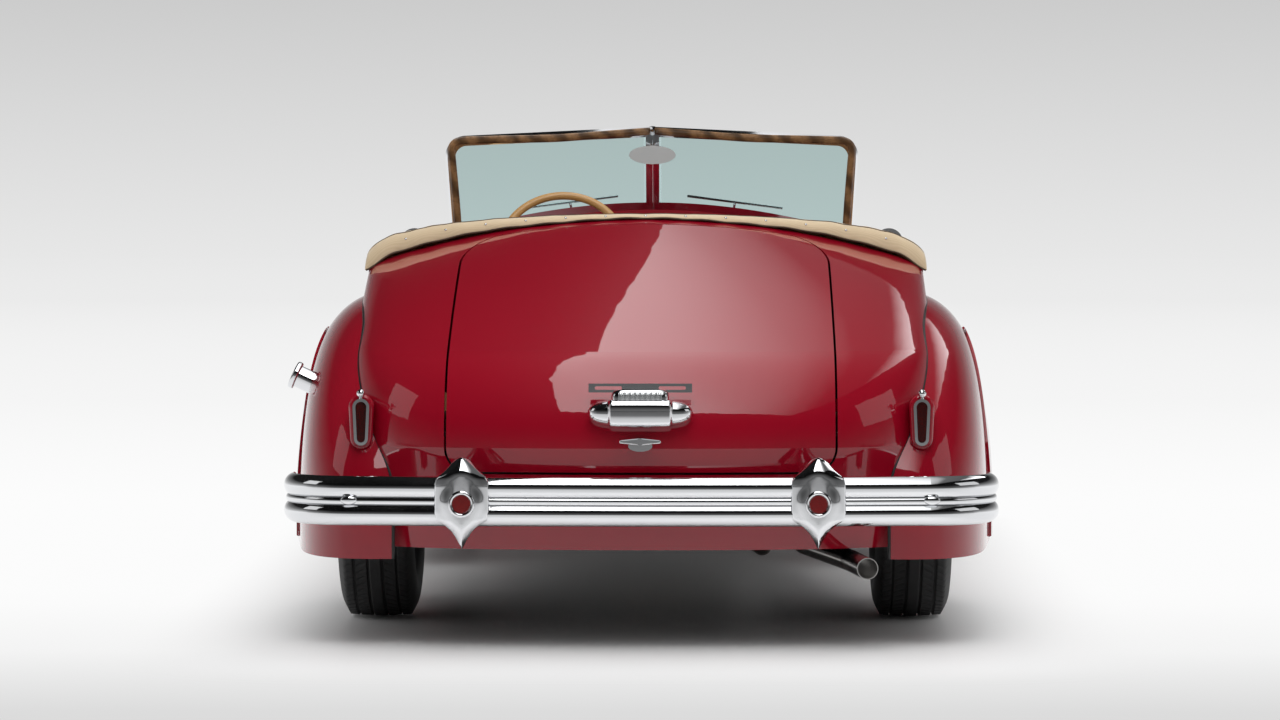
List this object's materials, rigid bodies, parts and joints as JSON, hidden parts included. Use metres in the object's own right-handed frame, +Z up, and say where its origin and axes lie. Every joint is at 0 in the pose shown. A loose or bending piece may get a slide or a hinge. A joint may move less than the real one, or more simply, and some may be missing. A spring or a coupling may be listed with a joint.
{
  "type": "classic convertible car",
  "caption": "Open two-door touring car with rounded fenders, wheel skirts, a V windshield, a folded top under a canvas cover and a sloping tail with a boot lid.",
  "frame": {"origin": "on the ground under the middle of the length and width", "axes": "+Y forward, +X the car's right-hand side, +Z up"},
  "size_m": [1.9174, 5.2664, 1.4057],
  "materials": {
    "red_paint": "gloss",
    "chrome": "polished",
    "red_lens": "gloss",
    "clear_glass": "gloss",
    "tan_canvas": "matte",
    "tan_leather": "satin",
    "ivory": "gloss",
    "chassis_black": "satin",
    "tyre_rubber": "matte",
    "wheel_paint": "gloss"
  },
  "bodies": {
    "car_body": {"boot_cover": "tan_canvas", "bumper_guards": "chrome", "bumper_irons": "chassis_black", "cowl": "red_paint", "dashboard": "red_paint", "engine_and_radiator": "chassis_black", "exhaust": "chassis_black", "floor_pan": "chassis_black", "frame": "chassis_black", "front_bumper": "chrome", "front_fenders": "red_paint", "front_seat": "tan_leather", "fuel_filler": "chrome", "fuel_tank": "chassis_black", "grille_bars": "chrome", "headlamp_lenses": "clear_glass", "hood_hinge": "chrome", "inside_mirror": "chrome", "lamp_pods": "red_paint", "lamp_rims": "chrome", "nose_shell": "red_paint", "rear_axle": "chassis_black", "rear_body": "red_paint", "rear_bumper": "chrome", "rear_fenders": "red_paint", "rear_seat": "tan_leather", "red_lenses": "red_lens", "steering_column": "chassis_black", "suspension": "chassis_black", "wheel_skirts": "red_paint", "windshield_frame": "chrome", "windshield_glass": "clear_glass", "wipers": "chrome"},
    "wheel_rear_left": {"wheel_rear_left": "wheel_paint", "tyre_rear_left": "tyre_rubber"},
    "wheel_rear_right": {"wheel_rear_right": "wheel_paint", "tyre_rear_right": "tyre_rubber"},
    "wheel_front_left": {"wheel_front_left": "wheel_paint", "tyre_front_left": "tyre_rubber"},
    "wheel_front_right": {"wheel_front_right": "wheel_paint", "tyre_front_right": "tyre_rubber"},
    "knuckle_left": {"knuckle_left": "chassis_black"},
    "knuckle_right": {"knuckle_right": "chassis_black"},
    "door_left": {"door_left": "red_paint", "door_mirror_left": "chrome"},
    "door_right": {"door_right": "red_paint", "door_mirror_right": "chrome"},
    "boot_lid": {"boot_lid": "red_paint", "boot_lid_fittings": "chrome"},
    "hood_left": {"hood_left": "red_paint"},
    "hood_right": {"hood_right": "red_paint"},
    "steering_wheel": {"steering_wheel": "ivory"}
  },
  "joints": [
    {"name": "wheel_rear_left_spin", "type": "hinge", "parent": "car_body", "child": "wheel_rear_left", "pos_m": [-0.74, -1.438, 0.362], "axis": [-1, 0, 0], "continuous": true},
    {"name": "wheel_rear_right_spin", "type": "hinge", "parent": "car_body", "child": "wheel_rear_right", "pos_m": [0.74, -1.438, 0.362], "axis": [-1, 0, 0], "continuous": true},
    {"name": "wheel_front_left_spin", "type": "hinge", "parent": "knuckle_left", "child": "wheel_front_left", "pos_m": [-0.735, 1.788, 0.362], "axis": [-1, 0, 0], "continuous": true},
    {"name": "wheel_front_right_spin", "type": "hinge", "parent": "knuckle_right", "child": "wheel_front_right", "pos_m": [0.735, 1.788, 0.362], "axis": [-1, 0, 0], "continuous": true},
    {"name": "steering_wheel_turn", "type": "hinge", "parent": "car_body", "child": "steering_wheel", "pos_m": [-0.272, -0.148, 1.018], "axis": [0, -0.8746, 0.4848], "range_deg": [-420, 420]},
    {"name": "steer_left", "type": "hinge", "parent": "car_body", "child": "knuckle_left", "pos_m": [-0.66, 1.788, 0.362], "axis": [0, 0, 1], "range_deg": [-28.1, 28.1]},
    {"name": "steer_right", "type": "hinge", "parent": "car_body", "child": "knuckle_right", "pos_m": [0.66, 1.788, 0.362], "axis": [0, 0, 1], "range_deg": [-28.1, 28.1]},
    {"name": "door_left_open", "type": "hinge", "parent": "car_body", "child": "door_left", "pos_m": [-0.7, 0.149, 0.65], "axis": [0, 0, -1], "range_deg": [0, 65]},
    {"name": "door_right_open", "type": "hinge", "parent": "car_body", "child": "door_right", "pos_m": [0.7, 0.149, 0.65], "axis": [0, 0, 1], "range_deg": [0, 65]},
    {"name": "boot_lid_open", "type": "hinge", "parent": "car_body", "child": "boot_lid", "pos_m": [0, -1.498, 1.1], "axis": [-1, 0, 0], "range_deg": [0, 55]},
    {"name": "hood_left_open", "type": "hinge", "parent": "car_body", "child": "hood_left", "pos_m": [-0.01, 0.542, 1.145], "axis": [0, 0.9993, -0.0377], "range_deg": [0, 55]},
    {"name": "hood_right_open", "type": "hinge", "parent": "car_body", "child": "hood_right", "pos_m": [0.01, 0.542, 1.145], "axis": [0, -0.9993, 0.0377], "range_deg": [0, 55]}
  ],
  "couplings": [
    {"joint": "steer_left", "follows": "steering_wheel_turn", "ratio": 0.066667},
    {"joint": "steer_right", "follows": "steering_wheel_turn", "ratio": 0.066667}
  ]
}
